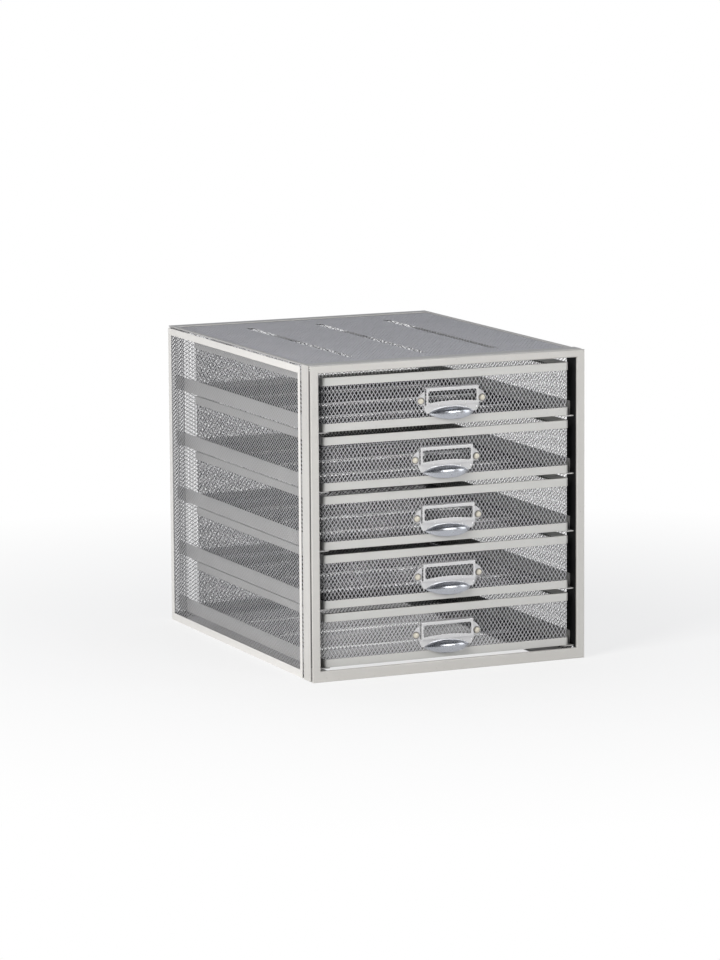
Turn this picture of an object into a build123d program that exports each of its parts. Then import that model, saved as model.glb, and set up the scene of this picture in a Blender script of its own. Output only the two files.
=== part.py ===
from build123d import *
import math
import os

# Desktop mini drawers: five mesh drawers in a mesh cabinet with a flat-bar front frame.
# Millimetres. X is the width, -Y the front and Z up. The origin is on the table, in the
# middle of the whole object, pulls included.

# Overall sizes of the cabinet, without the pulls that stand proud of it
width = 254.0
depth = 322.0
height = 267.0

# Drawers
drawer_count = 5
drawer_width = 229.0
drawer_length = 286.0
drawer_height = 45.4
drawer_gap = 4.45  # between one drawer's floor and the top of the next one down
lowest_drawer = 11.2  # from the table to the lowest drawer
drawer_recess = 5.0  # drawer fronts behind the front of the frame
corner_radius = 3.0  # upright corners of the drawers
smallest_round = 0.5
runner_play = 0.2  # under each drawer

# Sheets
mesh_sheet = 0.8
band_sheet = 0.7
strip_sheet = 0.6
collar_sheet = 1.0
runner_sheet = 0.8
fit = 0.1  # between a folded band and the mesh inside it

# Front frame
frame_thick = 2.0
frame_round = 0.8
post_face = 7.1
top_face = 6.4
bottom_face = 9.4
post_return = 18.0  # each post is folded back this far along the opening
return_sheet = 1.0
tab_length = 12.0
tab_reach = 10.0  # behind the frame's back
tab_count = 3

# Collar behind the frame
groove = 3.6
collar_reach = 14.0

# Mesh panels and the strips on their edges
mesh_start = 13.0  # front edges of the panels, inside the collar
strip_start = 24.0  # front ends of the strips
side_strip_wide = 6.0
front_strip_wide = 4.5
edge_line = 1.4  # open line between the side strips and the top panel
bottom_leaf_high = 6.5
bottom_leaf_deep = 30.6
top_strip_wide = 4.0
back_strip_wide = 12.0
back_flange = 33.0

# Pressed ribs
rib_wide = 5.0
rib_deep = 1.6
rib_draft = 20.0
top_rib_spacing = 67.0
top_rib_front = 55.0
top_rib_back = 277.0
floor_rib_margin = 22.0
rib_count = 3

# Runners
runner_leg_high = 12.0
runner_flange = 11.0
runner_nose = 5.5  # front end of the flange
runner_leg_front = 14.0  # front end of the leg, which lies on the post's fold
runner_round = 3.0
stop_high = 7.0
stop_play = 0.5

# Bands on a drawer
band_high = 6.8
inner_leaf_high = 4.0
bottom_return = 4.0

# Card frame with cup pull, from the middle of its drawer and the drawer's floor line
pull_sheet = 0.9
pull_shift = (4.0, -1.5, 0.0, 0.5, -1.5)  # how far each one sits from its drawer's middle
card_frame_wide = 49.5
card_frame_low = 15.7
card_frame_top = 31.9
card_frame_raise = 2.3
card_frame_draft = 14.0
card_slot_margin = 1.3  # above and below the open sides that a card slips in through
window_wide = 44.8
window_low = 18.3
window_top = 28.7
window_arch = 1.7
window_round = 1.6
rivet_spacing = 56.8
rivet_level = 20.6
ear_top = 28.6
ear_round = 3.8  # round the rivets
ear_turns = (53.0, -74.0)  # degrees above and below level at which the round ends
ear_hollow = 0.7  # of the slope from the card frame out to the ear
ear_notch = 1.3  # outside and above the card frame's lower corner
apron_tip_wide = 22.8
cup_root = 9.5  # where the ends of the cup leave the plate
cup_wide = 43.6
cup_deep = 8.2
cup_rise = 3.8
cup_skirt = 3.9  # from the root line down to the lip at the front
cup_stations = (-0.97, -0.84, -0.6, -0.31, 0.0, 0.31, 0.6, 0.84, 0.97)  # of the half width
cup_bends = 4
hollow_share = 0.9  # the hollow ends short of the cup's ends
cut_past = 0.5  # how far the hollow's cut runs out below the lip

# Rivets
rivet_head_radius = 2.6
rivet_head_high = 1.6
rivet_shank_radius = 1.5
rivet_clearance = 0.1
rivet_tail_radius = 2.3
rivet_tail_high = 0.8
rivet_sides = 8
rivet_dome = 0.6  # share of the head that is cut to a dome

# Worked out from the sizes above
half_width = width / 2
pull_back_line = drawer_recess + band_sheet + fit
cup_proud = max(0.0, cup_deep - pull_back_line)
front = -(depth + cup_proud) / 2 + cup_proud
back = front + depth
drawer_pitch = drawer_height + drawer_gap
opening_half = half_width - post_face
mesh_half = half_width - collar_sheet
mesh_top = height - collar_sheet
side_mesh_top = mesh_top - mesh_sheet
back_mesh_front = back - strip_sheet - mesh_sheet
runner_leg_inside = opening_half - runner_sheet
drawer_front = front + drawer_recess
drawer_back = drawer_front + drawer_length
tray_front = front + pull_back_line
tray_width = drawer_width - 2 * (band_sheet + fit)
tray_length = drawer_length - 2 * (band_sheet + fit)

os.makedirs("parts", exist_ok=True)


def floor_line(number):
    """Height of the underside of a drawer, counted from the top drawer, 1."""
    return lowest_drawer + (drawer_count - number) * drawer_pitch


def facing_front(x, y, z):
    """A plane across the object at y: its own x runs right, its own y runs up."""
    return Plane(origin=(x, y, z), x_dir=(1, 0, 0), z_dir=(0, -1, 0))


def keep(name, builder):
    builder.part.label = name
    export_step(builder.part, f"parts/{name}.step")


def block(name, x_span, y_span, z_span):
    """A flat piece with square edges between two values of x, y and z."""
    with BuildPart() as piece:
        with BuildSketch(Plane.XY.offset(z_span[0])):
            with Locations((sum(x_span) / 2, sum(y_span) / 2)):
                Rectangle(x_span[1] - x_span[0], y_span[1] - y_span[0])
        extrude(amount=z_span[1] - z_span[0])
    keep(name, piece)


def side_span(side, inner, outer):
    """An x span on the left (-1) or right (+1) of the middle, lowest value first."""
    return tuple(sorted((side * inner, side * outer)))


def even_places(count, length):
    return [length * ((i + 0.5) / count - 0.5) for i in range(count)]


# Front frame: four mitred members, each with tabs that carry it inside the collar. The posts
# are also folded back along the opening.


def frame_post(name, side):
    middle = half_width - collar_sheet - collar_sheet / 2
    with BuildPart() as post:
        with BuildSketch(facing_front(0, front + frame_thick, 0)):
            with BuildLine():
                Polyline(
                    (side * half_width, 0),
                    (side * opening_half, bottom_face),
                    (side * opening_half, height - top_face),
                    (side * half_width, height),
                    close=True,
                )
            make_face()
        extrude(amount=frame_thick)
        front_edges = post.edges().filter_by(Axis.Z).group_by(Axis.Y)[0]
        fillet(front_edges, radius=frame_round)
        with BuildSketch(facing_front(side * middle, front + frame_thick, height / 2)):
            with Locations(*[(0, z) for z in even_places(tab_count, height)]):
                Rectangle(collar_sheet, tab_length)
        extrude(amount=-tab_reach)
        # Fold along the opening, which the runners' front ends are fixed to
        fold_middle = side * (opening_half + return_sheet / 2)
        fold_high = height - top_face - bottom_face
        with BuildSketch(facing_front(fold_middle, front + frame_thick, bottom_face + fold_high / 2)):
            Rectangle(return_sheet, fold_high)
        extrude(amount=-post_return)
    keep(name, post)


def frame_rail(name, outer, inner, tab_middle):
    with BuildPart() as rail:
        with BuildSketch(facing_front(0, front + frame_thick, 0)):
            with BuildLine():
                Polyline(
                    (-half_width, outer),
                    (half_width, outer),
                    (opening_half, inner),
                    (-opening_half, inner),
                    close=True,
                )
            make_face()
        extrude(amount=frame_thick)
        front_edges = rail.edges().filter_by(Axis.X).group_by(Axis.Y)[0]
        fillet(front_edges, radius=frame_round)
        with BuildSketch(facing_front(0, front + frame_thick, tab_middle)):
            with Locations(*[(x, 0) for x in even_places(tab_count, width)]):
                Rectangle(tab_length, collar_sheet)
        extrude(amount=-tab_reach)
    keep(name, rail)


frame_post("left_frame_post", -1)
frame_post("right_frame_post", 1)
frame_rail("top_frame_rail", height, height - top_face, height - 1.5 * collar_sheet)
frame_rail("bottom_frame_rail", 0, bottom_face, 1.5 * collar_sheet)

# Collar: a sheet band round the cabinet's mouth

collar_y = (front + frame_thick + groove, front + frame_thick + groove + collar_reach)
for side, hand in ((-1, "left"), (1, "right")):
    block(f"{hand}_collar", side_span(side, mesh_half, half_width), collar_y, (0, height))
block("top_collar", (-mesh_half, mesh_half), collar_y, (mesh_top, height))
block("bottom_collar", (-mesh_half, mesh_half), collar_y, (0, collar_sheet))

# Side panels with their edge strips, and the angles that they stand on

mesh_y = (front + mesh_start, back - strip_sheet)
strip_y = (front + strip_start, back)
strip_top = mesh_top - edge_line
strip_low = strip_top - side_strip_wide
strip_outside = mesh_half + strip_sheet


def bottom_angle(name, side):
    outside = side * strip_outside
    with BuildPart() as angle:
        with BuildSketch(Plane.XZ.offset(-strip_y[1])):
            with BuildLine():
                Polyline(
                    (outside, 0),
                    (outside, bottom_leaf_high),
                    (outside - side * strip_sheet, bottom_leaf_high),
                    (outside - side * strip_sheet, strip_sheet),
                    (outside - side * bottom_leaf_deep, strip_sheet),
                    (outside - side * bottom_leaf_deep, 0),
                    close=True,
                )
            make_face()
        extrude(amount=strip_y[1] - strip_y[0])
    keep(name, angle)


for side, hand in ((-1, "left"), (1, "right")):
    mesh_x = side_span(side, mesh_half - mesh_sheet, mesh_half)
    strip_x = side_span(side, mesh_half, strip_outside)
    front_strip_y = (strip_y[0], strip_y[0] + front_strip_wide)
    back_strip_y = (strip_y[1] - side_strip_wide, strip_y[1])
    upright = (bottom_leaf_high, strip_low)
    block(f"{hand}_side_mesh", mesh_x, mesh_y, (collar_sheet, side_mesh_top))
    block(f"{hand}_top_strip", strip_x, strip_y, (strip_low, strip_top))
    block(f"{hand}_front_strip", strip_x, front_strip_y, upright)
    block(f"{hand}_back_strip", strip_x, back_strip_y, upright)
    bottom_angle(f"{hand}_bottom_angle", side)

# Top panel: mesh with ribs pressed down into it, and strips on three edges


def rib_outlines(places, length, wide, turn, level):
    """Long strips with cut corners, drawn at one level."""
    with BuildSketch(Plane.XY.offset(level)) as outlines:
        with Locations(*places):
            Rectangle(length, wide, rotation=turn)
        chamfer(outlines.vertices(), length=wide / 3)
    return outlines.sketch


with BuildPart() as top_mesh:
    with BuildSketch(Plane.XY.offset(side_mesh_top)):
        with Locations((0, sum(mesh_y) / 2)):
            Rectangle(2 * mesh_half, mesh_y[1] - mesh_y[0])
    extrude(amount=mesh_sheet)
    rib_middle = front + (top_rib_front + top_rib_back) / 2
    rib_places = [(i * top_rib_spacing, rib_middle) for i in (-1, 0, 1)]
    rib_length = top_rib_back - top_rib_front
    under = rib_outlines(rib_places, rib_length, rib_wide, 90, side_mesh_top)
    extrude(under, amount=-rib_deep, taper=rib_draft)
    hollow_length = rib_length - mesh_sheet
    hollow = rib_outlines(rib_places, hollow_length, rib_wide - mesh_sheet, 90, mesh_top)
    extrude(hollow, amount=-rib_deep, taper=rib_draft, mode=Mode.SUBTRACT)
keep("top_mesh", top_mesh)

cover_z = (mesh_top, mesh_top + strip_sheet)
cover_back_y = (back - back_strip_wide, back)
cover_side_y = (strip_y[0], cover_back_y[0])
for side, hand in ((-1, "left"), (1, "right")):
    cover_x = side_span(side, mesh_half - top_strip_wide, mesh_half)
    block(f"{hand}_cover_strip", cover_x, cover_side_y, cover_z)
block("back_cover_strip", (-mesh_half, mesh_half), cover_back_y, cover_z)

# Back panel: mesh with its side edges folded forward inside the side panels

back_mesh_half = mesh_half - mesh_sheet
with BuildPart() as back_mesh:
    with BuildSketch(Plane.XY.offset(collar_sheet)):
        with BuildLine():
            FilletPolyline(
                (-back_mesh_half, back_mesh_front + mesh_sheet - back_flange),
                (-back_mesh_half, back_mesh_front + mesh_sheet),
                (back_mesh_half, back_mesh_front + mesh_sheet),
                (back_mesh_half, back_mesh_front + mesh_sheet - back_flange),
                radius=corner_radius,
            )
            offset(amount=mesh_sheet, side=Side.RIGHT)
        make_face()
    extrude(amount=side_mesh_top - collar_sheet)
keep("back_mesh", back_mesh)

outer_back_y = (back - strip_sheet, back)
block("back_top_strip", (-mesh_half, mesh_half), outer_back_y, (strip_low, strip_top))
back_low = (strip_sheet, bottom_leaf_high)
block("back_bottom_strip", (-mesh_half, mesh_half), outer_back_y, back_low)

# Runners: angles from the front frame to the back panel


def runner(name, side, flange_top):
    leg_y = (front + runner_leg_front, back_mesh_front)
    flange_y = (front + runner_nose, drawer_back + stop_play + runner_sheet)
    inner_edge = runner_leg_inside - runner_flange
    with BuildPart() as angle:
        with BuildSketch(Plane.XY.offset(flange_top - runner_sheet)):
            with Locations((side * (runner_leg_inside + runner_sheet / 2), sum(leg_y) / 2)):
                Rectangle(runner_sheet, leg_y[1] - leg_y[0])
        extrude(amount=runner_leg_high)
        with BuildSketch(Plane.XY.offset(flange_top - runner_sheet)):
            with Locations((side * (inner_edge + runner_flange / 2), sum(flange_y) / 2)):
                Rectangle(runner_flange, flange_y[1] - flange_y[0])
        extrude(amount=runner_sheet)
        nose = angle.edges().filter_by(Axis.Z).group_by(Axis.X)[0 if side > 0 else -1]
        fillet(nose.sort_by(Axis.Y)[0], radius=runner_round)
        stop_middle = flange_y[1] - runner_sheet / 2
        with BuildSketch(Plane.XY.offset(flange_top)):
            with Locations((side * (inner_edge + runner_flange / 2), stop_middle)):
                Rectangle(runner_flange, runner_sheet)
        extrude(amount=stop_high)
    keep(name, angle)


for number in range(1, drawer_count + 1):
    for side, hand in ((-1, "left"), (1, "right")):
        runner(f"{hand}_runner_{number}", side, floor_line(number) - runner_play)

# Drawers


def rounded(size, radius):
    with BuildSketch() as outline:
        RectangleRounded(*size, radius)
    return outline.sketch


def clipped(size, radius):
    """A rectangle whose corners are cut along the middle of the arc they stand for."""
    with BuildSketch() as outline:
        Rectangle(*size)
        chamfer(outline.vertices(), length=(2 - 2**0.5) * max(radius, smallest_round))
    return outline.sketch


def ring(outer, inner, level):
    """The outer outline with the inner one taken out, at one level round a drawer."""
    with BuildSketch(Plane.XY.offset(level)) as loop:
        with Locations((0, drawer_front + drawer_length / 2)):
            add(outer)
            add(inner, mode=Mode.SUBTRACT)
    return loop.sketch


def smaller(size, step):
    return (size[0] - 2 * step, size[1] - 2 * step)


drawer_size = (drawer_width, drawer_length)
tray_size = (tray_width, tray_length)
tray_inside = smaller(tray_size, mesh_sheet)
tray_round = corner_radius - band_sheet - fit
inside_round = tray_round - mesh_sheet
drawer_outline = rounded(drawer_size, corner_radius)
leaf_inside = clipped(smaller(drawer_size, band_sheet), corner_radius - band_sheet)
tray_outline = rounded(tray_size, tray_round)
tray_hollow = clipped(tray_inside, inside_round)


def tray(name, floor, pull_x):
    """The folded mesh tray: its floor lies on the bottom band's return."""
    low = floor + band_sheet
    top = floor + drawer_height - band_sheet
    with BuildPart() as body:
        with BuildSketch(Plane.XY.offset(low)):
            with Locations((0, drawer_front + drawer_length / 2)):
                add(tray_outline)
        extrude(amount=mesh_sheet)
        extrude(ring(tray_outline, tray_hollow, low), amount=top - low)
        rib_rows = even_places(rib_count + 1, drawer_length)
        step = rib_rows[1] - rib_rows[0]
        middle = drawer_front + drawer_length / 2
        places = [(0, middle + row + step / 2) for row in rib_rows[:-1]]
        rib_length = tray_width - 2 * floor_rib_margin
        over = rib_outlines(places, rib_length, rib_wide, 0, low + mesh_sheet)
        extrude(over, amount=rib_deep, taper=rib_draft)
        hollow = rib_outlines(places, rib_length - mesh_sheet, rib_wide - mesh_sheet, 0, low)
        extrude(hollow, amount=rib_deep, taper=rib_draft, mode=Mode.SUBTRACT)
        # The rivets pass through opened diamonds of the mesh
        with BuildSketch(facing_front(pull_x, tray_front, floor + rivet_level)):
            with GridLocations(rivet_spacing, 0, 2, 1):
                RegularPolygon(rivet_shank_radius + rivet_clearance, 4, major_radius=False, rotation=45)
        extrude(amount=-mesh_sheet, mode=Mode.SUBTRACT)
    keep(name, body)


def top_band(name, floor):
    """Folded over the tray's top edge: outer leaf, cap and inner leaf."""
    top = floor + drawer_height
    inner_size = smaller(tray_inside, fit)
    inner_outline = clipped(inner_size, inside_round - fit)
    inner_hollow = clipped(smaller(inner_size, band_sheet), inside_round - fit - band_sheet)
    inner_low = top - band_sheet - inner_leaf_high
    with BuildPart() as band:
        extrude(ring(drawer_outline, leaf_inside, top - band_high), amount=band_high)
        extrude(ring(drawer_outline, inner_hollow, top - band_sheet), amount=band_sheet)
        extrude(ring(inner_outline, inner_hollow, inner_low), amount=top - inner_low)
    keep(name, band)


def bottom_band(name, floor):
    """Folded under the tray's bottom edge: outer leaf and return."""
    return_hollow = clipped(smaller(drawer_size, bottom_return), smallest_round)
    with BuildPart() as band:
        extrude(ring(drawer_outline, leaf_inside, floor), amount=band_high)
        extrude(ring(drawer_outline, return_hollow, floor), amount=band_sheet)
    keep(name, band)


def cup_share(station):
    """How deep the cup is at a station across it, as a share of its full depth."""
    half = cup_wide / 2
    radius = (half**2 + cup_deep**2) / (2 * cup_deep)
    return (math.sqrt(radius**2 - (half * station) ** 2) - radius + cup_deep) / cup_deep


def pull_blank(plane):
    """The flat plate: card frame, an ear each side and the arch over the cup's mouth."""
    frame_half = card_frame_wide / 2
    rivet_x = rivet_spacing / 2
    ear_upper, ear_lower = [
        (rivet_x + ear_round * math.cos(turn), rivet_level + ear_round * math.sin(turn))
        for turn in map(math.radians, ear_turns)
    ]
    slope_middle = (
        (frame_half + ear_upper[0]) / 2 - ear_hollow,
        (ear_top + ear_upper[1]) / 2 - ear_hollow,
    )
    notch = (frame_half + ear_notch, card_frame_low + ear_notch)
    arch = [
        (s * cup_wide / 2, cup_root + max(cup_rise * cup_share(s) - pull_sheet / 2, 0.0))
        for s in reversed(cup_stations)
    ]
    with BuildSketch(plane) as blank:
        with BuildLine():
            edge = Polyline((0, card_frame_top), (frame_half, card_frame_top), (frame_half, ear_top))
            slope = ThreePointArc(edge @ 1, slope_middle, ear_upper)
            ear = ThreePointArc(slope @ 1, (rivet_x + ear_round, rivet_level), ear_lower)
            Polyline(ear @ 1, notch, (apron_tip_wide, cup_root), arch[0])
            mirror(about=Plane.YZ)
            Polyline(*arch)
        make_face()
    return blank.sketch


def cup_body(plane, stations, wall, drop):
    """The cup as a solid: one outline, at a different size at each station across it.

    A wall makes it that much smaller all round, and a drop lengthens it below.
    """
    turns = [math.pi / 2 * i / cup_bends for i in range(cup_bends + 1)]
    root = cup_root - wall / 2
    rows = []
    for station in stations:
        share = cup_share(station) - wall / cup_deep
        curve = [(math.sin(t) * cup_deep * share, math.cos(t) * cup_rise * share) for t in turns]
        lip = [(cup_deep * share, -cup_skirt * share - drop), (0, -drop)]
        x = station * cup_wide / 2
        rows.append([plane.from_local_coords((x, root + up, out)) for out, up in curve + lip])
    outlines = [rows[0], rows[-1]]
    for near, far in zip(rows, rows[1:]):
        for k in range(len(near)):
            outlines.append([near[k - 1], near[k], far[k], far[k - 1]])
    return Solid(Shell([Face(Wire.make_polygon(outline)) for outline in outlines]))


def card_pull(name, x, floor):
    plate_back = facing_front(x, tray_front, floor)
    raised_middle = (card_frame_low + card_frame_top) / 2
    raised_high = card_frame_top - card_frame_low
    wall_lean = card_frame_raise * math.tan(math.radians(card_frame_draft))
    slot_wide = card_frame_wide - 2 * (pull_sheet + wall_lean + fit)
    with BuildPart() as pull:
        extrude(pull_blank(plate_back), amount=pull_sheet)
        with BuildSketch(plate_back):
            with Locations((0, rivet_level)):
                with GridLocations(rivet_spacing, 0, 2, 1):
                    RegularPolygon(
                        rivet_shank_radius + rivet_clearance, rivet_sides, major_radius=False
                    )
        extrude(amount=pull_sheet, mode=Mode.SUBTRACT)
        # Card frame, pressed forward so that a card slides in behind it
        with BuildSketch(plate_back.offset(pull_sheet)):
            with Locations((0, raised_middle)):
                Rectangle(card_frame_wide, raised_high)
        extrude(amount=card_frame_raise, taper=card_frame_draft)
        with BuildSketch(plate_back):
            with Locations((0, raised_middle)):
                Rectangle(card_frame_wide - 2 * pull_sheet, raised_high - 2 * pull_sheet)
        extrude(amount=card_frame_raise, taper=card_frame_draft, mode=Mode.SUBTRACT)
        # Its sides are open for the card
        with BuildSketch(plate_back.offset(pull_sheet)):
            with Locations((0, raised_middle)):
                Rectangle(card_frame_wide, raised_high - 2 * card_slot_margin)
                Rectangle(slot_wide, raised_high, mode=Mode.SUBTRACT)
        extrude(amount=card_frame_raise - pull_sheet, mode=Mode.SUBTRACT)
        with BuildSketch(plate_back):
            with BuildLine():
                window_half = window_wide / 2
                foot = ThreePointArc(
                    (-window_half, window_low),
                    (0, window_low + window_arch),
                    (window_half, window_low),
                )
                Polyline(foot @ 1, (window_half, window_top), (-window_half, window_top), foot @ 0)
            make_face()
            fillet(vertices(), radius=window_round)
        extrude(amount=2 * (pull_sheet + card_frame_raise), mode=Mode.SUBTRACT)
        # Cup: a shell open below for the fingers
        add(cup_body(plate_back, cup_stations, 0.0, 0.0))
        hollow_stations = [hollow_share * s for s in cup_stations]
        add(cup_body(plate_back, hollow_stations, pull_sheet, cut_past), mode=Mode.SUBTRACT)
    keep(name, pull)


def rivet_rounds(plane, radius):
    """Outlines for one stage of both rivets, with a few sides in place of a circle."""
    with BuildSketch(plane) as rounds:
        with GridLocations(rivet_spacing, 0, 2, 1):
            RegularPolygon(radius, rivet_sides, major_radius=False)
    return rounds.sketch


def rivets(name, x, floor):
    """Domed head on the pull's ear, shank through ear and tray, flat tail inside."""
    inside = facing_front(x, tray_front + mesh_sheet, floor + rivet_level)
    grip = mesh_sheet + pull_sheet
    with BuildPart() as pair:
        extrude(rivet_rounds(inside.offset(grip), rivet_head_radius), amount=rivet_head_high)
        crowns = pair.faces().group_by(Axis.Y)[0]
        chamfer(crowns.edges(), length=rivet_dome * rivet_head_high)
        extrude(rivet_rounds(inside, rivet_shank_radius), amount=grip)
        extrude(rivet_rounds(inside, rivet_tail_radius), amount=-rivet_tail_high)
    keep(name, pair)


for number in range(1, drawer_count + 1):
    floor = floor_line(number)
    tray(f"drawer_{number}_tray", floor, pull_shift[number - 1])
    top_band(f"drawer_{number}_top_band", floor)
    bottom_band(f"drawer_{number}_bottom_band", floor)
    card_pull(f"drawer_{number}_pull", pull_shift[number - 1], floor)
    rivets(f"drawer_{number}_rivets", pull_shift[number - 1], floor)
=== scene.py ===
import bpy
import bmesh
import math
import numpy as np
from mathutils import Matrix, Vector


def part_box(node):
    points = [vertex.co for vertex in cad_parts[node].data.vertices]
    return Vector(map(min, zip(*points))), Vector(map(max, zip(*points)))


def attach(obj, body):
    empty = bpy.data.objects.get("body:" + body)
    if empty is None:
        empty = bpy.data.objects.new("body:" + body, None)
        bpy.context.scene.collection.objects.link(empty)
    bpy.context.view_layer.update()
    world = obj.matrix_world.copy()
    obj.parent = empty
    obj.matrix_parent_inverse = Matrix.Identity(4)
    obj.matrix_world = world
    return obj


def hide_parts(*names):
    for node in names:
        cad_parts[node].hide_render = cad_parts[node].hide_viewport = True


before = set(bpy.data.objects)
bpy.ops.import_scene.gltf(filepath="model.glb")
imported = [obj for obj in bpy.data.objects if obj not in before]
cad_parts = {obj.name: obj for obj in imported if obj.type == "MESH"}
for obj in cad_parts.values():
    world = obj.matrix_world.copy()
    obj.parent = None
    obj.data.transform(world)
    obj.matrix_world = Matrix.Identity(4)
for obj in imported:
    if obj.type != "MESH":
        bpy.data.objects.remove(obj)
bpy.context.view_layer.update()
drawerNumbers = range(1, 6)
mm = 0.001


def link(obj):
    bpy.context.scene.collection.objects.link(obj)
    return obj


# One mesh from lists of parts, one list for each material; a part is its points and its faces
def joined(name, partLists, materialNames, sharp=40):
    work = bmesh.new()
    for number, parts in enumerate(partLists):
        for points, faces in parts:
            verts = [work.verts.new(p) for p in points]
            for face in faces:
                work.faces.new([verts[k] for k in face]).material_index = number
    bmesh.ops.remove_doubles(work, verts=work.verts, dist=0.001 * mm)
    bmesh.ops.recalc_face_normals(work, faces=work.faces)
    mesh = bpy.data.meshes.new(name)
    work.to_mesh(mesh)
    work.free()
    for materialName in materialNames:
        mesh.materials.append(materials[materialName])
    mesh.shade_smooth()
    mesh.set_sharp_from_angle(angle=math.radians(sharp))
    return mesh


# Faces between closed loops of equal length, the first and last joined too if wrap is set
def loopsPart(loops, wrap=False, caps=False):
    count = len(loops[0])
    faces = []
    for row in range(len(loops) - (0 if wrap else 1)):
        near, far = row * count, ((row + 1) % len(loops)) * count
        for k in range(count):
            after = (k + 1) % count
            faces.append((near + k, near + after, far + after, far + k))
    if caps:
        faces.append(tuple(range(count)))
        faces.append(tuple((len(loops) - 1) * count + k for k in range(count)))
    return np.concatenate(loops), faces


def place(obj, body, slotName, *nodes):
    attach(obj, body)
    if nodes:
        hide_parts(*nodes)
    return obj


def addNode(tree, kind, values=None, **settings):
    node = tree.nodes.new(kind)
    for key, value in settings.items():
        setattr(node, key, value)
    for key, value in (values or {}).items():
        node.inputs[key].default_value = value
    return node


def newGroup(name, inputs, outputs):
    group = bpy.data.node_groups.new(name, "ShaderNodeTree")
    for label, kind, value in inputs:
        socket = group.interface.new_socket(name=label, in_out="INPUT", socket_type=kind)
        socket.default_value = value
    for label, kind in outputs:
        group.interface.new_socket(name=label, in_out="OUTPUT", socket_type=kind)
    return group, group.nodes.new("NodeGroupInput"), group.nodes.new("NodeGroupOutput")


# Paint or plating that is never quite even: slow clouds, fine grain and a few darker specks
def unevenFinishGroup():
    group, given, out = newGroup(
        "unevenFinish",
        [
            ("Color", "NodeSocketColor", (0.6, 0.6, 0.6, 1)),
            ("Roughness", "NodeSocketFloat", 0.4),
            ("Cloud Size", "NodeSocketFloat", 30.0),
            ("Cloud Strength", "NodeSocketFloat", 0.1),
            ("Grain Size", "NodeSocketFloat", 2500.0),
            ("Grain Strength", "NodeSocketFloat", 0.05),
            ("Speck Strength", "NodeSocketFloat", 0.1),
        ],
        [
            ("Color", "NodeSocketColor"),
            ("Roughness", "NodeSocketFloat"),
            ("Height", "NodeSocketFloat"),
        ],
    )
    links = group.links
    place3d = addNode(group, "ShaderNodeTexCoord")
    clouds = addNode(group, "ShaderNodeTexNoise", {"Detail": 3.0, "Roughness": 0.55})
    grain = addNode(group, "ShaderNodeTexNoise", {"Detail": 2.0, "Roughness": 0.6})
    specks = addNode(group, "ShaderNodeTexNoise", {"Scale": 420.0, "Detail": 1.0})
    for texture in (clouds, grain, specks):
        links.new(place3d.outputs["Object"], texture.inputs["Vector"])
    links.new(given.outputs["Cloud Size"], clouds.inputs["Scale"])
    links.new(given.outputs["Grain Size"], grain.inputs["Scale"])

    def swing(source, strength):
        centred = addNode(group, "ShaderNodeMath", {1: 0.5}, operation="SUBTRACT")
        links.new(source.outputs["Fac"], centred.inputs[0])
        scaled = addNode(group, "ShaderNodeMath", operation="MULTIPLY")
        links.new(centred.outputs[0], scaled.inputs[0])
        links.new(given.outputs[strength], scaled.inputs[1])
        return scaled

    cloudSwing = swing(clouds, "Cloud Strength")
    grainSwing = swing(grain, "Grain Strength")
    total = addNode(group, "ShaderNodeMath", operation="ADD")
    links.new(cloudSwing.outputs[0], total.inputs[0])
    links.new(grainSwing.outputs[0], total.inputs[1])
    speckMask = addNode(
        group, "ShaderNodeMapRange", {"From Min": 0.68, "From Max": 0.76, "To Min": 0.0, "To Max": 1.0}
    )
    links.new(specks.outputs["Fac"], speckMask.inputs["Value"])
    speckDark = addNode(group, "ShaderNodeMath", operation="MULTIPLY")
    links.new(speckMask.outputs["Result"], speckDark.inputs[0])
    links.new(given.outputs["Speck Strength"], speckDark.inputs[1])
    level = addNode(group, "ShaderNodeMath", operation="SUBTRACT")
    links.new(total.outputs[0], level.inputs[0])
    links.new(speckDark.outputs[0], level.inputs[1])
    gain = addNode(group, "ShaderNodeMath", {1: 1.0}, operation="ADD")
    links.new(level.outputs[0], gain.inputs[0])
    colour = addNode(group, "ShaderNodeVectorMath", operation="SCALE")
    links.new(given.outputs["Color"], colour.inputs[0])
    links.new(gain.outputs[0], colour.inputs["Scale"])
    rough = addNode(group, "ShaderNodeMath", operation="MULTIPLY_ADD")
    rough.inputs[1].default_value = -0.6
    links.new(level.outputs[0], rough.inputs[0])
    links.new(given.outputs["Roughness"], rough.inputs[2])
    links.new(colour.outputs[0], out.inputs["Color"])
    links.new(rough.outputs[0], out.inputs["Roughness"])
    links.new(grain.outputs["Fac"], out.inputs["Height"])
    return group


unevenFinish = unevenFinishGroup()


def metalMaterial(name, look):
    material = bpy.data.materials.new(name)
    material.use_nodes = True
    tree = material.node_tree
    shader = tree.nodes["Principled BSDF"]
    shader.inputs["Metallic"].default_value = look["metallic"]
    finish = tree.nodes.new("ShaderNodeGroup")
    finish.node_tree = unevenFinish
    finish.inputs["Color"].default_value = (*look["color"], 1)
    finish.inputs["Roughness"].default_value = look["roughness"]
    for key in ("Cloud Size", "Cloud Strength", "Grain Size", "Grain Strength", "Speck Strength"):
        if key in look:
            finish.inputs[key].default_value = look[key]
    bump = addNode(tree, "ShaderNodeBump", {"Strength": 0.05, "Distance": 0.2 * mm})
    tree.links.new(finish.outputs["Color"], shader.inputs["Base Color"])
    tree.links.new(finish.outputs["Roughness"], shader.inputs["Roughness"])
    tree.links.new(finish.outputs["Height"], bump.inputs["Height"])
    tree.links.new(bump.outputs["Normal"], shader.inputs["Normal"])
    shader.inputs["Specular IOR Level"].default_value = look.get("specular", 0.5)
    material.diffuse_color = (*look["color"], 1)
    return material


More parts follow.
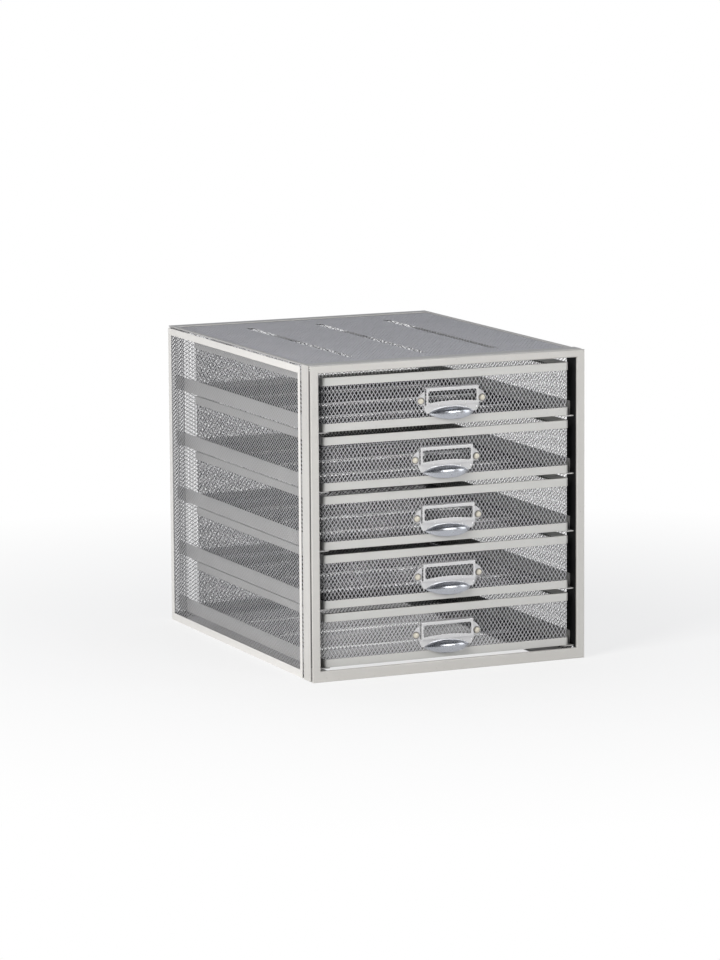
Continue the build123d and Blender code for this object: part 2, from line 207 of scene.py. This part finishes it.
looks = {
    "frameSilver": {
        "color": (0.60, 0.59, 0.57),
        "metallic": 0.3, "roughness": 0.38, "Cloud Strength": 0.10,
    },
    "sideSilver": {
        "color": (0.80, 0.79, 0.77),
        "metallic": 0.2, "roughness": 0.36, "Cloud Strength": 0.10,
    },
    "sheetSilver": {
        "color": (0.66, 0.65, 0.63),
        "metallic": 0.3, "roughness": 0.36, "Cloud Strength": 0.12,
    },
    "bandSilver": {
        "color": (0.60, 0.60, 0.585),
        "metallic": 0.3, "roughness": 0.38, "Cloud Strength": 0.12,
    },
    "meshMetal": {
        "color": (0.66, 0.66, 0.69),
        "metallic": 0.45, "roughness": 0.32, "Cloud Strength": 0.2,
    },
    "pullPlate": {
        "color": (0.76, 0.76, 0.77),
        "metallic": 0.6, "roughness": 0.22, "Cloud Strength": 0.08,
    },
    "cupChrome": {
        "color": (0.60, 0.62, 0.67),
        "metallic": 1.0, "roughness": 0.27, "Cloud Strength": 0.06,
    },
    # Near-black painted shade in the pressed seat round each rivet
    "rivetSeatPaintedShade": {
        "color": (0.05, 0.05, 0.05),
        "metallic": 0.2, "roughness": 0.6,
    },
    "rivetMetal": {
        "color": (0.70, 0.66, 0.57),
        "metallic": 0.35, "roughness": 0.35, "Cloud Strength": 0.15,
    },
    "runnerSteel": {
        "color": (0.58, 0.58, 0.57),
        "metallic": 0.3, "roughness": 0.4, "Cloud Strength": 0.2,
    },
}
materials = {name: metalMaterial(name, look) for name, look in looks.items()}


# A copy of a metal whose colour changes to another one along the object's x, y or z
def changingAlong(name, baseName, axis, start, end, farColor):
    look = looks[baseName]
    material = metalMaterial(name, look)
    tree = material.node_tree
    spot = addNode(tree, "ShaderNodeTexCoord")
    split = addNode(tree, "ShaderNodeSeparateXYZ")
    share = addNode(tree, "ShaderNodeMapRange", {"From Min": start, "From Max": end})
    blend = addNode(tree, "ShaderNodeMix", data_type="RGBA")
    near, far = [socket for socket in blend.inputs if socket.type == "RGBA"]
    near.default_value = (*look["color"], 1)
    far.default_value = (*farColor, 1)
    finish = next(node for node in tree.nodes if node.bl_idname == "ShaderNodeGroup")
    tree.links.new(spot.outputs["Object"], split.inputs[0])
    tree.links.new(split.outputs[axis], share.inputs["Value"])
    tree.links.new(share.outputs["Result"], blend.inputs["Factor"])
    mixed = next(socket for socket in blend.outputs if socket.type == "RGBA")
    tree.links.new(mixed, finish.inputs["Color"])
    return material


# Painted shade and painted highlight: near-black colours, darker than the metal itself, stand in for
# the shade in gaps, holes and insides, and a near-white colour is a painted highlight on the floor
# ribs' tops
paintedShadeAndHighlight = {
    "color": (0.03, 0.03, 0.032),
    "frameInnerShade": (0.012, 0.012, 0.013),
    "frameFace": 2.1 * mm,  # depth of the frame that keeps its own colour
    "frameFade": 0.5 * mm,
    "ribHighlight": (0.95, 0.95, 0.95),
    "trayFace": 1.5 * mm,
    "fadeDeep": 3 * mm,
    "ribFrom": 1.2 * mm,  # heights above the tray's foot between which the painted highlight on the ribs comes in
    "ribTo": 1.7 * mm,
}
trayLow = np.array(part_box("drawer_1_tray")[0])
trayFace = trayLow[1] + paintedShadeAndHighlight["trayFace"]
# The tray wall fades to near black behind its front face, a painted shade inside the drawer
materials["trayMetalPaintedShade"] = changingAlong(
    "trayMetalPaintedShade", "meshMetal", "Y", trayFace, trayFace + paintedShadeAndHighlight["fadeDeep"], paintedShadeAndHighlight["color"]
)
# A dull near-black painted shade for the strands' inner faces, the back panel and the tray floor
looks["insidePaintedShade"] = dict(
    looks["meshMetal"], color=paintedShadeAndHighlight["color"], metallic=0.0, roughness=0.75, specular=0.12
)
# The tray floor keeps that painted shade, with a near-white painted highlight on its rib tops
materials["floorPaintedShadeRibHighlight"] = changingAlong(
    "floorPaintedShadeRibHighlight",
    "insidePaintedShade",
    "Z",
    trayLow[2] + paintedShadeAndHighlight["ribFrom"],
    trayLow[2] + paintedShadeAndHighlight["ribTo"],
    paintedShadeAndHighlight["ribHighlight"],
)
materials["insidePaintedShade"] = metalMaterial("insidePaintedShade", looks["insidePaintedShade"])
print("materials made")


expandedMetal = {
    "longPitch": 5.6 * mm,
    "shortPitch": 3.5 * mm,
    "strandWide": 0.5 * mm,
    "strandThick": 0.28 * mm,
    "tilt": 32.0,  # degrees each strand is turned out of the sheet
}


# place maps (long, short) to points, short directions and normals, each an array of rows. Each strand
# has four faces: 0 behind, 2 in front, 1 and 3 its edges; the inner one gets a near-black painted
# shade
def meshPanel(name, longSpan, shortSpan, toSpace, wrapShort=False, innerFace=0, outside="meshMetal"):
    halfLong = expandedMetal["longPitch"] / 2
    halfShort = expandedMetal["shortPitch"] / 2
    columns = max(2, round((longSpan[1] - longSpan[0]) / halfLong))
    rows = max(2, round((shortSpan[1] - shortSpan[0]) / halfShort))
    if wrapShort:
        rows += rows % 2
    longAt = np.linspace(longSpan[0], longSpan[1], columns + 1)
    shortAt = np.linspace(shortSpan[0], shortSpan[1], rows + 1)
    rowCount = rows + (0 if wrapShort else 1)
    i, j = np.meshgrid(np.arange(columns + 1), np.arange(rowCount), indexing="ij")
    keep = (i + j) % 2 == 0
    number = np.full(keep.shape, -1)
    number[keep] = np.arange(keep.sum())
    centre, across, out = toSpace(longAt[i[keep]], shortAt[j[keep]])
    turn = math.radians(expandedMetal["tilt"])
    wide = (math.cos(turn) * across + math.sin(turn) * out) * expandedMetal["strandWide"] / 2
    thick = (-math.sin(turn) * across + math.cos(turn) * out) * expandedMetal["strandThick"] / 2
    signs = ((-1, -1), (1, -1), (1, 1), (-1, 1))
    corners = np.stack([centre + u * wide + v * thick for u, v in signs], axis=1)
    starts, ends = [], []
    for step in (1, -1):
        a = number[:-1, :]
        b = np.roll(number, -step, axis=1)[1:, :]
        ok = (a >= 0) & (b >= 0)
        if not wrapShort:
            ok[:, -1 if step == 1 else 0] = False
        starts.append(a[ok])
        ends.append(b[ok])
    a, b = np.concatenate(starts) * 4, np.concatenate(ends) * 4
    sides = [
        np.stack([a + k, b + k, b + (k + 1) % 4, a + (k + 1) % 4], axis=1) for k in range(4)
    ]
    quads = np.stack(sides, axis=1)
    quads = quads.reshape(-1, 4)
    mesh = bpy.data.meshes.new(name)
    points = corners.reshape(-1, 3)
    mesh.vertices.add(len(points))
    mesh.vertices.foreach_set("co", points.ravel())
    mesh.loops.add(quads.size)
    mesh.loops.foreach_set("vertex_index", quads.ravel().astype(np.int32))
    mesh.polygons.add(len(quads))
    mesh.polygons.foreach_set("loop_start", np.arange(0, quads.size, 4, dtype=np.int32))
    mesh.update(calc_edges=True)
    mesh.validate()
    mesh.materials.append(materials[outside])
    mesh.materials.append(materials["insidePaintedShade"])
    which = (np.arange(len(quads)) % 4 == innerFace).astype(np.int32)
    mesh.polygons.foreach_set("material_index", which)
    print(name, "quads", len(mesh.polygons))
    return mesh


def flatMap(origin, longWay, shortWay, dent=None):
    origin, longWay, shortWay = np.array(origin), np.array(longWay, float), np.array(shortWay, float)
    normal = np.cross(longWay, shortWay)

    def toSpace(a, b):
        points = origin + a[:, None] * longWay + b[:, None] * shortWay
        if dent is not None:
            points = points + dent(points)[:, None] * np.array([0.0, 0.0, 1.0])
        count = len(a)
        return points, np.repeat(shortWay[None], count, 0), np.repeat(normal[None], count, 0)

    return toSpace


# A sheet bent along a path in plan; returns points and outward normals for distances along it
def pathMap(corners, radius, closed, longIsUp):
    pieces = []
    corners = [np.array(c, float) for c in corners]
    count = len(corners)
    starts = {}
    for k in range(count):
        if not closed and k in (0, count - 1):
            starts[k] = (corners[k], corners[k], None)
            continue
        before = corners[k - 1] - corners[k]
        after = corners[(k + 1) % count] - corners[k]
        before, after = before / np.linalg.norm(before), after / np.linalg.norm(after)
        starts[k] = (corners[k] + before * radius, corners[k] + after * radius, (before + after))
    order = range(count if closed else count - 1)
    for k in order:
        if starts[k][2] is not None:
            centre = corners[k] + starts[k][2] * radius
            pieces.append(("arc", starts[k][0], starts[k][1], centre))
        pieces.append(("line", starts[k][1], starts[(k + 1) % count][0], None))
    lengths = [
        np.linalg.norm(q - p) if kind == "line" else radius * math.pi / 2 for kind, p, q, c in pieces
    ]
    edges = np.concatenate([[0.0], np.cumsum(lengths)])

    def toSpace(a, b):
        up, along = (a, b) if longIsUp else (b, a)
        points = np.zeros((len(up), 3))
        normals = np.zeros((len(up), 3))
        tangents = np.zeros((len(up), 3))
        which = np.clip(np.searchsorted(edges, along + 1e-9, side="right") - 1, 0, len(pieces) - 1)
        for n, (kind, p, q, c) in enumerate(pieces):
            chosen = which == n
            if not chosen.any():
                continue
            part = (along[chosen] - edges[n]) / lengths[n]
            if kind == "line":
                way = (q - p) / np.linalg.norm(q - p)
                xy = p + (q - p) * part[:, None]
                tangent = np.repeat(way[None], chosen.sum(), 0)
            else:
                first, last = p - c, q - c
                angle = part[:, None] * math.pi / 2
                xy = c + first * np.cos(angle) + last * np.sin(angle)
                tangent = (-first * np.sin(angle) + last * np.cos(angle)) / radius
            points[chosen, :2] = xy
            tangents[chosen, :2] = tangent
            normals[chosen, 0] = tangent[:, 1]
            normals[chosen, 1] = -tangent[:, 0]
        points[:, 2] = up
        if longIsUp:
            return points, tangents, normals
        return points, np.repeat([[0.0, 0.0, 1.0]], len(up), 0), normals

    return toSpace, edges[-1]


ribEdge = {"flat": 1.6, "slope": 1.9 * mm}  # flat half counted in slopes, and a slope's width


# Height of long pressed ribs at points: flat top, sloping sides
def ribShape(lines, halfLength, alongX, high):
    def height(points):
        across, along = (points[:, 1], points[:, 0]) if alongX else (points[:, 0], points[:, 1])
        total = np.zeros(len(points))
        for line, middle in lines:
            near = np.clip(ribEdge["flat"] - np.abs(across - line) / ribEdge["slope"], 0, 1)
            ends = np.clip((halfLength - np.abs(along - middle)) / ribEdge["slope"] + 0.5, 0, 1)
            total += near * ends
        return total * high

    return height


def cadBoxOf(node):
    low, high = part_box(node)
    return np.array(low), np.array(high)


inset = 0.4 * mm  # from the outside of a sheet to the middle of its strands

# Side panels
for hand in ("left", "right"):
    low, high = cadBoxOf(f"{hand}_side_mesh")
    middle = (low[0] + high[0]) / 2
    side = -1 if hand == "left" else 1
    span = (low[1], high[1]) if hand == "left" else (-high[1], -low[1])
    toSpace = flatMap((middle, 0, 0), (0, -side, 0), (0, 0, 1))
    mesh = meshPanel(f"{hand}SideMesh", span, (low[2], high[2]), toSpace, innerFace=2)
    panel = link(bpy.data.objects.new(f"{hand}SideMesh", mesh))
    place(panel, "cabinet", "mesh_metal", f"{hand}_side_mesh")

# Top panel, with three ribs pressed down
topRibs = {"spacing": 67 * mm, "front": 42 * mm, "length": 222 * mm, "deep": 1.9 * mm}
low, high = cadBoxOf("top_mesh")
ribHalf = topRibs["length"] / 2
ribMiddle = low[1] + topRibs["front"] + ribHalf
ribLines = [(k * topRibs["spacing"], ribMiddle) for k in (-1, 0, 1)]
dent = ribShape(ribLines, ribHalf, False, -topRibs["deep"])
topPanel = meshPanel(
    "topMesh",
    (-high[1], -low[1]),
    (low[0], high[0]),
    flatMap((0, 0, high[2] - inset), (0, -1, 0), (1, 0, 0), dent),
)
place(link(bpy.data.objects.new("topMesh", topPanel)), "cabinet", "mesh_metal", "top_mesh")

# Back panel, its sides folded forward
bends = {"back": 2.6 * mm, "tray": 2.0 * mm}
low, high = cadBoxOf("back_mesh")
toSpace, length = pathMap(
    [
        (high[0] - inset, low[1]),
        (high[0] - inset, high[1] - inset),
        (low[0] + inset, high[1] - inset),
        (low[0] + inset, low[1]),
    ],
    bends["back"],
    False,
    False,
)
# The back panel has painted shade on every face
backPanel = meshPanel("backMesh", (0, length), (low[2], high[2]), toSpace, outside="insidePaintedShade")
place(link(bpy.data.objects.new("backMesh", backPanel)), "cabinet", "mesh_metal", "back_mesh")

# Drawer trays: a wall wrapped round and a ribbed floor, shared by all five drawers
low, high = cadBoxOf("drawer_1_tray")
wallLow, wallHigh = low[2], high[2]
toSpace, length = pathMap(
    [
        (low[0] + inset, low[1] + inset),
        (high[0] - inset, low[1] + inset),
        (high[0] - inset, high[1] - inset),
        (low[0] + inset, high[1] - inset),
    ],
    bends["tray"],
    True,
    True,
)
trayWall = meshPanel("trayWall", (wallLow, wallHigh), (0, length), toSpace, True, outside="trayMetalPaintedShade")
floorRibs = {"reach": 93 * mm, "high": 1.5 * mm, "shares": (0.25, 0.5, 0.75)}
depth = high[1] - low[1]
ribRows = [(low[1] + depth * part, 0.0) for part in floorRibs["shares"]]
floorShape = ribShape(ribRows, floorRibs["reach"], True, floorRibs["high"])
trayFloor = meshPanel(
    "trayFloor",
    (low[1] + inset, high[1] - inset),
    (low[0] + inset, high[0] - inset),
    flatMap((0, 0, low[2] + inset), (0, 1, 0), (1, 0, 0), floorShape),
    innerFace=4,  # past the last face, so none is set apart
    outside="floorPaintedShadeRibHighlight",
)
for k in drawerNumbers:
    drop = cadBoxOf(f"drawer_{k}_tray")[0][2] - low[2]
    for label, mesh in (("Wall", trayWall), ("Floor", trayFloor)):
        piece = link(bpy.data.objects.new(f"drawer{k}{label}", mesh))
        piece.location.z = drop
        place(piece, f"drawer_{k}", "mesh_metal", f"drawer_{k}_tray")
print("expanded metal made")


# Card frame with cup pull, in millimetres from the middle of the plate's back: x right, up from
# the drawer's floor line and out towards the viewer
cardPull = {
    "sheet": 0.9,
    "edgeRound": 0.16,
    "frameWide": 49.5,
    "frameLow": 15.7,
    "frameTop": 31.9,
    "frameRound": 0.7,
    "raise": 2.3,
    "lean": 14.0,
    "windowWide": 44.8,
    "windowLow": 18.3,
    "windowTop": 28.7,
    "windowArch": 1.7,
    "windowRound": 1.9,
    "rivetSpacing": 56.8,
    "rivetLevel": 20.6,
    "earTop": 28.6,
    "earRound": 3.7,
    "earHollow": 0.7,
    "earNotch": 1.3,
    "earTurns": (53, -74),
    "notchHollow": 0.35,
    "tipHollow": 0.45,
    "apronTip": (22.8, 9.5),
    "cupWide": 42.4,
    "cupDeep": 8.1,
    "cupRise": 5.4,
    "cupSkirt": 4.6,
    "cupFullness": 0.8,  # below 1 the cup is squarer than an ellipse, seen from its end
    "cupReach": 0.985,  # share of the half width at which the cup's mesh ends
    "cupStations": 57,
    "cupBends": 18,
    "backingRound": 0.6,  # corners of the plate's opening behind the card
    "dimpleRadius": 3.1,  # of the pressed seat round each rivet
}


# A rounded rectangle with as many points for any size; its foot can rise in an arch
def roundedLoop(halfWide, low, high, radius, level, arch=0.0, cornerSteps=6, sideSteps=16):
    points = []
    corners = [(halfWide, high, 0), (-halfWide, high, 90), (-halfWide, low, 180), (halfWide, low, 270)]
    for x, up, turn in corners:
        centre = (x - math.copysign(radius, x), up + (radius if up == low else -radius))
        for step in range(cornerSteps + 1):
            angle = math.radians(turn + 90 * step / cornerSteps)
            points.append((centre[0] + radius * math.cos(angle), centre[1] + radius * math.sin(angle)))
        if turn == 180:
            reach = halfWide - radius
            for step in range(1, sideSteps):
                x = reach * (2 * step / sideSteps - 1)
                points.append((x, low))
    rows = []
    for x, up in points:
        rise = arch * (1 - (x / halfWide) ** 2) if up < (low + high) / 2 else 0.0
        rows.append((x, up + rise, level))
    return np.array(rows)


# Points on a round from one direction to another, in degrees
def arcPoints(centre, radius, first, last, count):
    turns = np.radians(np.linspace(first, last, count))
    return [(centre[0] + radius * math.cos(t), centre[1] + radius * math.sin(t)) for t in turns]


# A hollow curve between two points, pushed in sideways at its middle
def hollowPoints(first, last, push, count):
    first, last = np.array(first), np.array(last)
    along = (last - first) / np.linalg.norm(last - first)
    side = np.array([-along[1], along[0]])
    return [
        tuple(first + (last - first) * t + side * push * 4 * t * (1 - t))
        for t in np.linspace(0, 1, count)
    ]


# How deep the cup is at a station across it, as a share of its full depth
def cupShare(station):
    return (1 - abs(station) ** 2.3) ** 0.78


def plateOutline():
    p = cardPull
    half, rivetX = p["frameWide"] / 2, p["rivetSpacing"] / 2
    ear = arcPoints((rivetX, p["rivetLevel"]), p["earRound"], *p["earTurns"], 14)
    notch = (half + p["earNotch"], p["frameLow"] + p["earNotch"])
    right = [(half, p["frameTop"]), (half, p["earTop"])]
    right += hollowPoints((half, p["earTop"]), ear[0], p["earHollow"], 8)[1:-1] + ear
    right += hollowPoints(ear[-1], notch, p["notchHollow"], 5)[1:]
    right += hollowPoints(notch, p["apronTip"], p["tipHollow"], 8)[1:]
    root = p["apronTip"][1]
    arch = [
        (p["cupWide"] / 2 * s, root + max(p["cupRise"] * cupShare(s) - p["sheet"] / 2, 0))
        for s in np.linspace(0.97, -0.97, 30)
    ]
    return right + arch + [(-x, up) for x, up in reversed(right)]


# A flat sheet with rounded edges, cut from outlines
def sheetPart(outlines, thick, edgeRound):
    curve = bpy.data.curves.new("sheet", "CURVE")
    curve.dimensions = "2D"
    curve.fill_mode = "BOTH"
    for outline in outlines:
        spline = curve.splines.new("POLY")
        spline.points.add(len(outline) - 1)
        for point, (x, up) in zip(spline.points, outline):
            point.co = (x, up, 0, 1)
        spline.use_cyclic_u = True
    curve.extrude = thick / 2 - edgeRound
    curve.bevel_depth = edgeRound
    curve.bevel_resolution = 2
    curve.offset = -edgeRound
    holder = link(bpy.data.objects.new("sheet", curve))
    bpy.context.view_layer.update()
    mesh = bpy.data.meshes.new_from_object(holder.evaluated_get(bpy.context.evaluated_depsgraph_get()))
    points = np.array([tuple(v.co) for v in mesh.vertices])
    points[:, 2] += thick / 2
    faces = [tuple(f.vertices) for f in mesh.polygons]
    bpy.data.objects.remove(holder)
    bpy.data.curves.remove(curve)
    bpy.data.meshes.remove(mesh)
    return points, faces


# The raised card frame: a face with its window, and a leaning wall above and below it. The
# sides stay open for the card
def raisedFrameParts():
    p = cardPull
    half, low, top = p["frameWide"] / 2, p["frameLow"], p["frameTop"]
    crest = p["sheet"] + p["raise"]
    inset = p["raise"] * math.tan(math.radians(p["lean"]))
    face = roundedLoop(half - inset, low + inset, top - inset, p["frameRound"], 0)
    window = roundedLoop(
        p["windowWide"] / 2, p["windowLow"], p["windowTop"], p["windowRound"], 0, p["windowArch"]
    )
    points, faces = sheetPart([loop[:, :2] for loop in (face, window)], p["sheet"], p["edgeRound"])
    parts = [(points + np.array([0, 0, p["raise"]]), faces)]
    wallTop = crest - p["edgeRound"]
    for up, inwards in ((top, -1), (low, 1)):
        loops = []
        for end in (-1, 1):
            outside = [(up, p["sheet"] / 2), (up + inwards * inset * 0.93, wallTop)]
            inside = [(v + inwards * p["sheet"], out) for v, out in reversed(outside)]
            loops.append(np.array([(end * (half - inset / 2), v, out) for v, out in outside + inside]))
        parts.append(loopsPart(loops, caps=True))
    return parts


def cupPart():
    p = cardPull
    quarter = math.pi / 2
    stations = np.sin(np.linspace(-quarter, quarter, p["cupStations"])) * p["cupReach"]
    turns = np.linspace(0, quarter, p["cupBends"])
    root = p["apronTip"][1]

    def section(station, wall):
        share = cupShare(station)
        x = p["cupWide"] / 2 * station * (1 - wall * 0.045)
        deep = max(p["cupDeep"] * share - wall, 0.05)
        rise = max(p["cupRise"] * share - wall * 0.8, 0.03)
        full = p["cupFullness"]
        line = [(x, root + math.cos(t) ** full * rise, math.sin(t) ** full * deep) for t in turns]
        for part in (0.25, 0.5, 0.75, 1.0):
            line.append((x, root - p["cupSkirt"] * share * part, deep - 0.5 * share * part**2))
        return line

    rows = []
    for station in stations:
        outside = section(station, 0.0)
        inside = section(station, p["sheet"])
        lip = [(a + b) / 2 for a, b in zip(outside[-1], inside[-1])]
        lip[1] -= 0.25 * cupShare(station)
        rows.append(outside + [tuple(lip)] + inside[::-1])
    count = len(rows[0])
    points = np.array([p for row in rows for p in row])
    faces = []
    for r in range(len(rows) - 1):
        for k in range(count - 1):
            near, far = r * count + k, (r + 1) * count + k
            faces.append((near, near + 1, far + 1, far))
    return points, faces


# A turned shape about a line out of the plate, from distances out and radii
def lathePart(profile, steps, x, up, back=0.0):
    turns = np.arange(steps) * 2 * math.pi / steps
    return loopsPart(
        [
            np.array([(x + r * math.cos(t), up + r * math.sin(t), back + out) for t in turns])
            for out, r in profile
        ]
    )


# Parts drawn as x, up and out, turned to stand in the cabinet's frame, in metres
def standing(parts):
    turned = []
    for points, faces in parts:
        points = np.array(points)
        turned.append((np.stack([points[:, 0], -points[:, 2], points[:, 1]], axis=1) * mm, faces))
    return turned


hole = arcPoints((0, 0), cardPull["dimpleRadius"], 0, 345, 24)
halfSpacing = cardPull["rivetSpacing"] / 2
rivetHoles = [
    [(x + side * halfSpacing, up + cardPull["rivetLevel"]) for x, up in hole] for side in (-1, 1)
]


def backingOutline():
    p = cardPull
    halfSheet = p["sheet"] * 0.5
    loop = roundedLoop(
        p["frameWide"] / 2 - halfSheet,
        p["frameLow"] + halfSheet,
        p["frameTop"] - halfSheet,
        p["backingRound"],
        0.0,
    )
    return [tuple(point[:2]) for point in loop]


plate = sheetPart(
    [plateOutline(), backingOutline()] + rivetHoles, cardPull["sheet"], cardPull["edgeRound"]
)
dimpleProfile = [
    (0.75, cardPull["dimpleRadius"] - 0.02),
    (0.25, cardPull["dimpleRadius"] - 0.25),
    (0.05, 2.4),
    (0.05, 1.6),
]
dimples = [
    lathePart(dimpleProfile, 32, x, cardPull["rivetLevel"]) for x in (-halfSpacing, halfSpacing)
]
# The rivet seats get the near-black painted shade
pullLists = ([plate] + raisedFrameParts(), [cupPart()], dimples)
pullMesh = joined(
    "pull", [standing(parts) for parts in pullLists], ("pullPlate", "cupChrome", "rivetSeatPaintedShade"), 38
)

rivet = {
    # out from the tray's inner face and radius, from the set tail inside to the top of the head
    "profile": [
        (-0.8, 0.0), (-0.8, 1.9), (-0.6, 2.2), (-0.15, 2.3), (0.0, 2.2), (0.0, 1.5), (1.1, 1.5),
        (1.1, 2.35), (1.35, 2.55), (1.9, 2.6), (2.5, 2.42), (2.85, 1.98), (3.1, 1.4), (3.24, 0.7),
        (3.28, 0.0),
    ],
    "steps": 32,
    "back": -0.8,
}

rivetParts = [
    lathePart(rivet["profile"], rivet["steps"], x, cardPull["rivetLevel"], rivet["back"])
    for x in (-halfSpacing, halfSpacing)
]
rivetMesh = joined("rivets", [standing(rivetParts)], ("rivetMetal",), 50)
for k in drawerNumbers:
    low, high = cadBoxOf(f"drawer_{k}_pull")
    floorLine = cadBoxOf(f"drawer_{k}_bottom_band")[0][2]
    for label, mesh, node, slotName in (
        ("Pull", pullMesh, "pull", "pull_chrome"),
        ("Rivets", rivetMesh, "rivets", "rivet_metal"),
    ):
        piece = link(bpy.data.objects.new(f"drawer{k}{label}", mesh))
        piece.location = ((low[0] + high[0]) / 2, high[1], floorLine)
        flat = piece.modifiers.new("flatFaces", "WEIGHTED_NORMAL")
        flat.keep_sharp = True
        place(piece, f"drawer_{k}", slotName, f"drawer_{k}_{node}")
print("pulls and rivets made")

softEdges = {"wide": 0.15 * mm, "segments": 2, "sharperThan": 35, "weld": 0.00001}


def softenEdges(obj):
    weld = obj.modifiers.new("weld", "WELD")
    weld.merge_threshold = softEdges["weld"]
    bevel = obj.modifiers.new("softEdges", "BEVEL")
    bevel.width = softEdges["wide"]
    bevel.segments = softEdges["segments"]
    bevel.limit_method = "ANGLE"
    bevel.angle_limit = math.radians(softEdges["sharperThan"])
    bevel.harden_normals = False


def repaint(node, materialName):
    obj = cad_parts[node]
    obj.data.materials.clear()
    obj.data.materials.append(materials[materialName])
    softenEdges(obj)


# Behind the depth of the frame's face the posts and rails fade to near black, a painted shade on their
# inner faces
faceBack = cadBoxOf("left_frame_post")[0][1] + paintedShadeAndHighlight["frameFace"]
materials["frameSilver"] = changingAlong(
    "frameSilver",
    "frameSilver",
    "Y",
    faceBack,
    faceBack + paintedShadeAndHighlight["frameFade"],
    paintedShadeAndHighlight["frameInnerShade"],
)
for node in ("left_frame_post", "right_frame_post", "top_frame_rail", "bottom_frame_rail"):
    repaint(node, "frameSilver")
for node in ("left_collar", "right_collar", "top_collar", "bottom_collar"):
    repaint(node, "sheetSilver")
for hand in ("left", "right"):
    for piece in ("top_strip", "front_strip", "back_strip", "bottom_angle"):
        repaint(f"{hand}_{piece}", "sideSilver")
    repaint(f"{hand}_cover_strip", "sheetSilver")
for node in ("back_cover_strip", "back_top_strip", "back_bottom_strip"):
    repaint(node, "sheetSilver")
for k in drawerNumbers:
    for hand in ("left", "right"):
        repaint(f"{hand}_runner_{k}", "runnerSteel")
    for piece in ("top_band", "bottom_band"):
        repaint(f"drawer_{k}_{piece}", "bandSilver")
print("sheet metal painted")


room = {
    "skyColor": (0.93, 0.95, 1.0),
    "skyStrength": 0.10,
    "floorColor": (0.8, 0.8, 0.8),
    "floorSize": 6.0,
    "clearNear": 0.25,  # metres from the middle of the floor at which it starts to turn plain white
    "clearFar": 0.75,
    "shadowKept": 0.25,
}


# Shows one shader to the camera and another to every other ray
def onlyForCamera(tree, shown, other, output):
    mix = addNode(tree, "ShaderNodeMixShader")
    paths = addNode(tree, "ShaderNodeLightPath")
    tree.links.new(paths.outputs["Is Camera Ray"], mix.inputs["Fac"])
    tree.links.new(other, mix.inputs[1])
    tree.links.new(shown, mix.inputs[2])
    tree.links.new(mix.outputs[0], output)


world = bpy.data.worlds.new("studio")
bpy.context.scene.world = world
world.use_nodes = True
tree = world.node_tree
sky = tree.nodes["Background"]
sky.inputs["Color"].default_value = (*room["skyColor"], 1)
sky.inputs["Strength"].default_value = room["skyStrength"]
white = addNode(tree, "ShaderNodeBackground", {"Color": (1, 1, 1, 1), "Strength": 1.0})
surface = tree.nodes["World Output"].inputs["Surface"]
onlyForCamera(tree, white.outputs[0], sky.outputs[0], surface)

floorMesh = bpy.data.meshes.new("floor")
half = room["floorSize"] / 2
floorMesh.from_pydata(
    [(-half, -half, 0), (half, -half, 0), (half, half, 0), (-half, half, 0)], [], [(0, 1, 2, 3)]
)
floor = link(bpy.data.objects.new("floor", floorMesh))
floor.location.z = -0.0002
floorMaterial = bpy.data.materials.new("paleFloor")
floorMaterial.use_nodes = True
tree = floorMaterial.node_tree
floorShader = tree.nodes["Principled BSDF"]
floorShader.inputs["Base Color"].default_value = (*room["floorColor"], 1)
floorShader.inputs["Roughness"].default_value = 0.9
spot = addNode(tree, "ShaderNodeTexCoord")
reach = addNode(tree, "ShaderNodeVectorMath", operation="LENGTH")
tree.links.new(spot.outputs["Object"], reach.inputs[0])
clear = addNode(tree, "ShaderNodeMapRange", {"To Min": 1 - room["shadowKept"], "To Max": 1.0})
clear.inputs["From Min"].default_value = room["clearNear"]
clear.inputs["From Max"].default_value = room["clearFar"]
tree.links.new(reach.outputs["Value"], clear.inputs["Value"])
plain = addNode(tree, "ShaderNodeEmission", {"Color": (1, 1, 1, 1), "Strength": 1.0})
blend = addNode(tree, "ShaderNodeMixShader")
tree.links.new(clear.outputs["Result"], blend.inputs["Fac"])
tree.links.new(floorShader.outputs[0], blend.inputs[1])
tree.links.new(plain.outputs[0], blend.inputs[2])
surface = tree.nodes["Material Output"].inputs["Surface"]
onlyForCamera(tree, blend.outputs[0], floorShader.outputs[0], surface)
floorMesh.materials.append(floorMaterial)

lamps = {
    # name: (size, power, place, colour)
    "keyLeft": ((0.9, 0.9), 47.0, (-1.75, -0.95, 0.85), (1.0, 0.985, 0.96)),
    "softFront": ((0.9, 0.9), 12.0, (0.8, -2.1, 0.8), (1.0, 0.99, 0.97)),
    "brightRight": ((0.8, 1.2), 6.0, (1.6, -0.9, 0.5), (1.0, 1.0, 1.0)),
    "skyTop": ((1.6, 1.6), 12.0, (0.2, 0.6, 1.9), (0.86, 0.9, 1.0)),
}
aim = Vector((0, 0, 0.13))
for name, (size, power, spot, colour) in lamps.items():
    light = bpy.data.lights.new(name, "AREA")
    light.shape = "RECTANGLE"
    light.size, light.size_y = size
    light.energy = power
    light.color = colour
    lamp = link(bpy.data.objects.new(name, light))
    lamp.location = spot
    lamp.rotation_euler = (aim - Vector(spot)).to_track_quat("-Z", "Y").to_euler()
    lamp.visible_glossy = name != "keyLeft"

cameraFit = {
    "place": (-1.55538, -3.47502, 0.73861),
    "right": (0.91346352, -0.40686457, -0.00675382),
    "up": (0.06919566, 0.13895476, 0.9878783),
    "lens": 165.0,
}
camera = bpy.data.cameras.new("camera")
camera.lens = cameraFit["lens"]
camera.sensor_width = 36
cameraObject = link(bpy.data.objects.new("camera", camera))
right, up = Vector(cameraFit["right"]), Vector(cameraFit["up"])
turn = Matrix((right, up, right.cross(up))).transposed()
cameraObject.matrix_world = Matrix.Translation(cameraFit["place"]) @ turn.to_4x4()
camera.clip_start, camera.clip_end = 0.1, 50
bpy.context.scene.camera = cameraObject
bpy.context.scene.view_settings.view_transform = "Standard"
print("camera and lamps placed")
